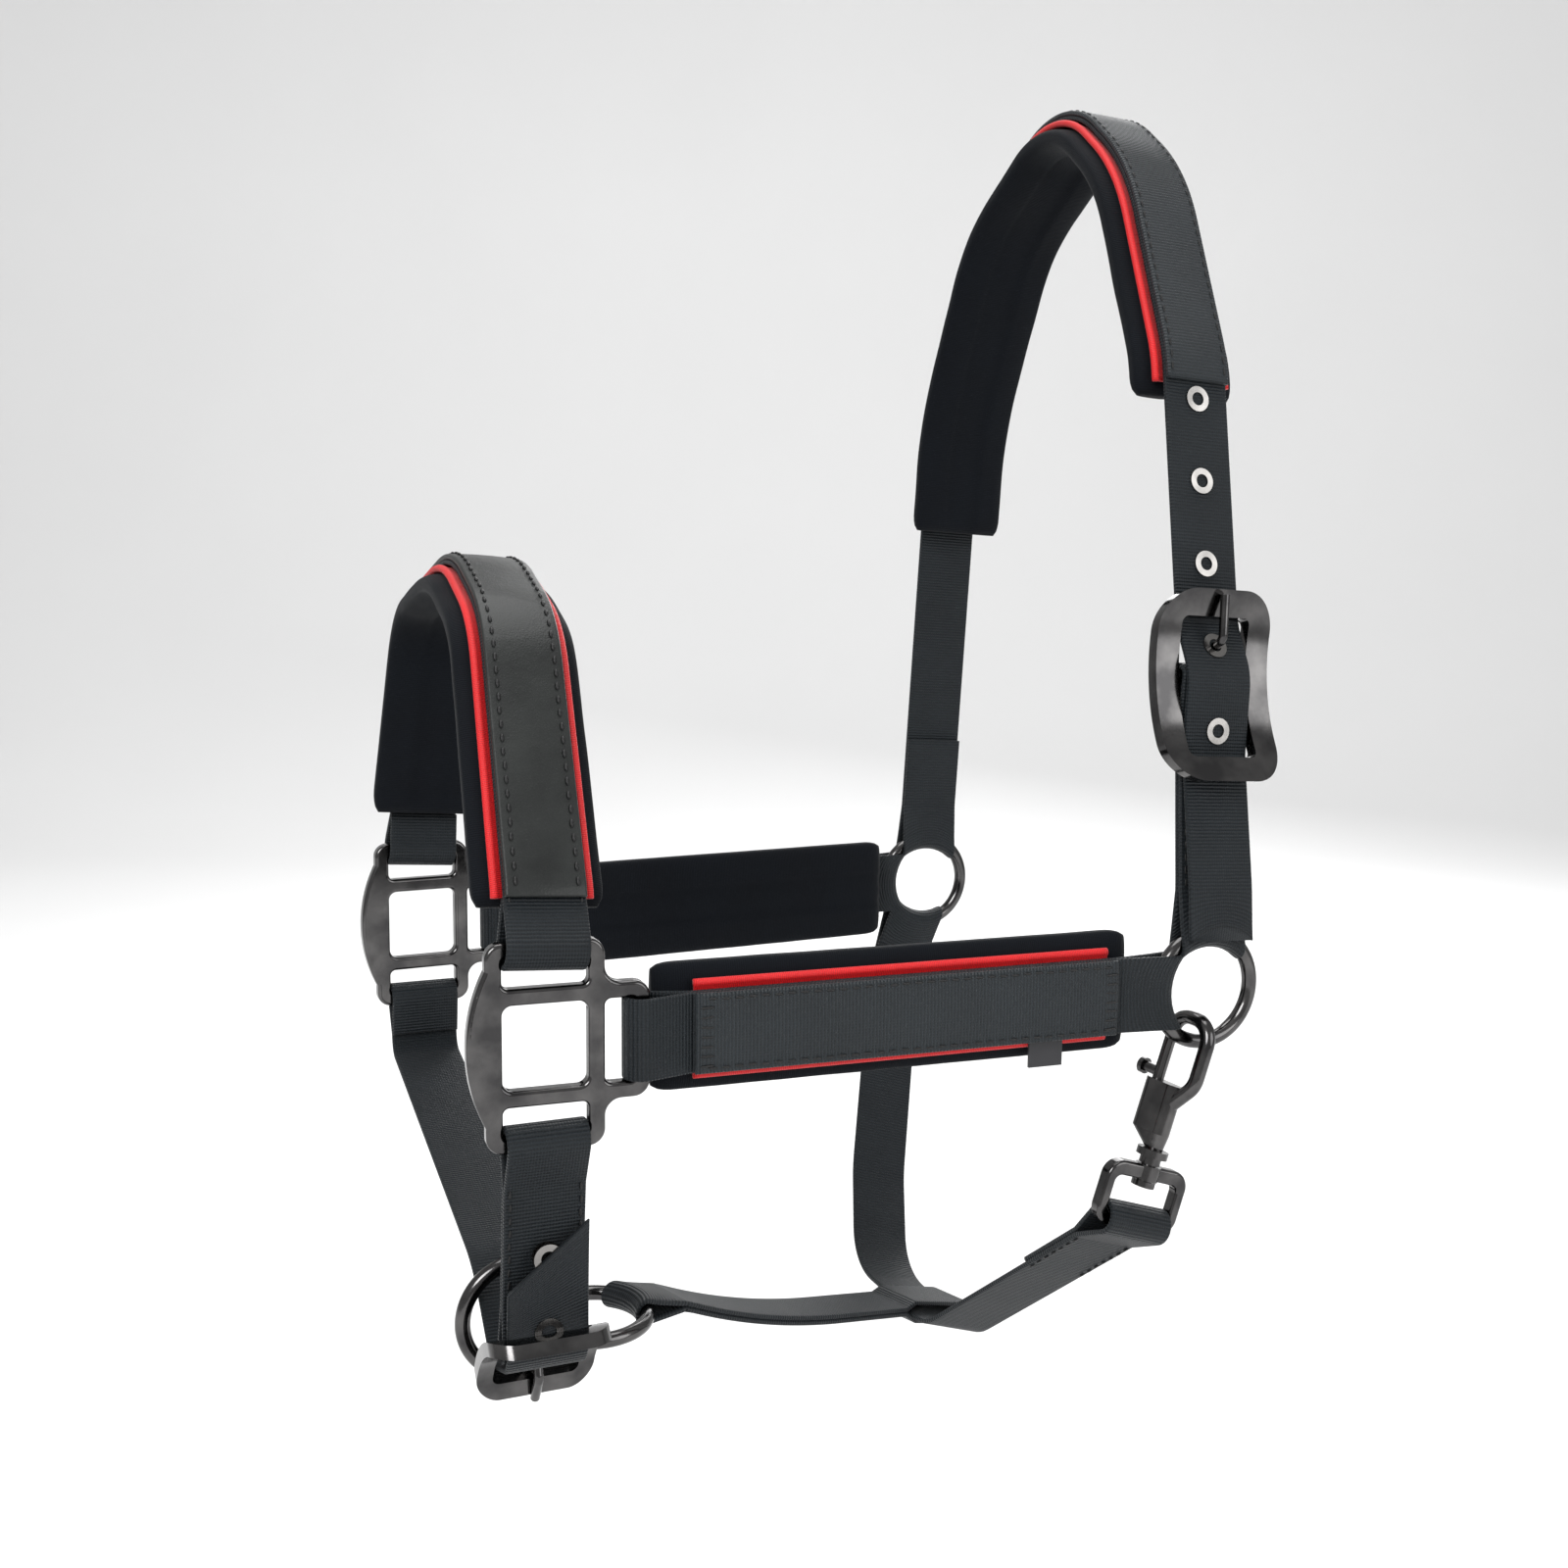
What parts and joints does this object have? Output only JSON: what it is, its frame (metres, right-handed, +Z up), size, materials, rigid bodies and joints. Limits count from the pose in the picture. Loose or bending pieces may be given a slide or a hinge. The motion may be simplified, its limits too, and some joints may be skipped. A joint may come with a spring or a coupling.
{
  "type": "headcollar",
  "caption": "Padded webbing headcollar for a horse with a buckled crown and chin strap, round cheek rings, square noseband fittings and a throat strap fastened by a swivel clip.",
  "frame": {"origin": "inner face of the crown padding at its top, where it sits on the poll", "axes": "+X towards the back of the head, -Y on the near (left) side, +Z up"},
  "size_m": [0.2838, 0.2194, 0.4631],
  "materials": {
    "black_webbing": "satin nylon weave",
    "soft_padding": "soft brushed cloth",
    "red_piping": "woven edge binding",
    "black_leather": "smooth grain, satin",
    "printed_tab": "plain woven",
    "dark_metal": "polished gunmetal",
    "bright_metal": "polished nickel"
  },
  "bodies": {
    "crown": {"crown_strap": "black_webbing", "crown_overlay": "black_webbing", "crown_piping": "red_piping", "crown_padding": "soft_padding", "crown_eyelets": "bright_metal", "crown_billet": "black_webbing", "crown_buckle_frame": "dark_metal", "crown_buckle_pin": "dark_metal"},
    "crown_tongue": {"crown_buckle_tongue": "dark_metal"},
    "near_ring": {"near_cheek_ring": "dark_metal"},
    "off_ring": {"off_cheek_ring": "dark_metal"},
    "chin_tongue": {"chin_buckle_tongue": "dark_metal"},
    "chin_ring_body": {"chin_ring": "dark_metal"},
    "jowl_ring_body": {"jowl_ring": "dark_metal"},
    "snap": {"snap_body": "dark_metal", "snap_rivet": "dark_metal"},
    "bolt": {"snap_bolt": "dark_metal"},
    "face": {"chin_buckle_frame": "dark_metal", "chin_buckle_pin": "dark_metal", "chin_eyelets": "bright_metal", "chin_strap_near": "black_webbing", "chin_strap_off": "black_webbing", "jowl_strap": "black_webbing", "near_cheek_overlay": "black_webbing", "near_cheek_padding": "soft_padding", "near_cheek_piping": "red_piping", "near_cheek_webbing": "black_webbing", "near_square": "dark_metal", "noseband_leather": "black_leather", "noseband_padding": "soft_padding", "noseband_piping": "red_piping", "noseband_webbing": "black_webbing", "off_cheek_overlay": "black_webbing", "off_cheek_padding": "soft_padding", "off_cheek_piping": "red_piping", "off_cheek_webbing": "black_webbing", "off_square": "dark_metal", "size_tab": "printed_tab", "snap_eye": "dark_metal", "throat_strap": "black_webbing"}
  },
  "joints": [
    {"name": "face_fold", "type": "hinge", "parent": "crown", "child": "face", "pos_m": [-0.016, 0, -0.287], "axis": [0, -1, 0], "range_deg": [-10, 45]},
    {"name": "crown_tongue_turn", "type": "hinge", "parent": "crown", "child": "crown_tongue", "pos_m": [-0.01022, -0.08944, -0.18352], "axis": [0.9984, 0, -0.0558], "range_deg": [0, 4.5]},
    {"name": "near_ring_turn", "type": "hinge", "parent": "crown", "child": "near_ring", "pos_m": [-0.016, -0.102, -0.287], "axis": [0, 1, 0], "continuous": true},
    {"name": "off_ring_turn", "type": "hinge", "parent": "crown", "child": "off_ring", "pos_m": [-0.016, 0.102, -0.287], "axis": [0, 1, 0], "continuous": true},
    {"name": "chin_tongue_turn", "type": "hinge", "parent": "face", "child": "chin_tongue", "pos_m": [-0.24, -0.08252, -0.38283], "axis": [-1, 0, 0], "range_deg": [0, 3.5]},
    {"name": "chin_ring_turn", "type": "hinge", "parent": "face", "child": "chin_ring_body", "pos_m": [-0.2395, -0.056, -0.385], "axis": [0, 1, 0], "continuous": true},
    {"name": "jowl_ring_turn", "type": "hinge", "parent": "face", "child": "jowl_ring_body", "pos_m": [-0.214, -0.048, -0.393], "axis": [0, 0, 1], "continuous": true},
    {"name": "snap_swivel", "type": "hinge", "parent": "face", "child": "snap", "pos_m": [-0.02172, -0.102, -0.3046], "axis": [0.309, 0, 0.9511], "range_deg": [-12, 12]},
    {"name": "bolt_slide", "type": "slide", "parent": "snap", "child": "bolt", "axis": [-0.309, 0, -0.9511], "range_m": [0, 0.0085], "stiffness_N_per_m": 300, "springref_m": -0.004}
  ]
}
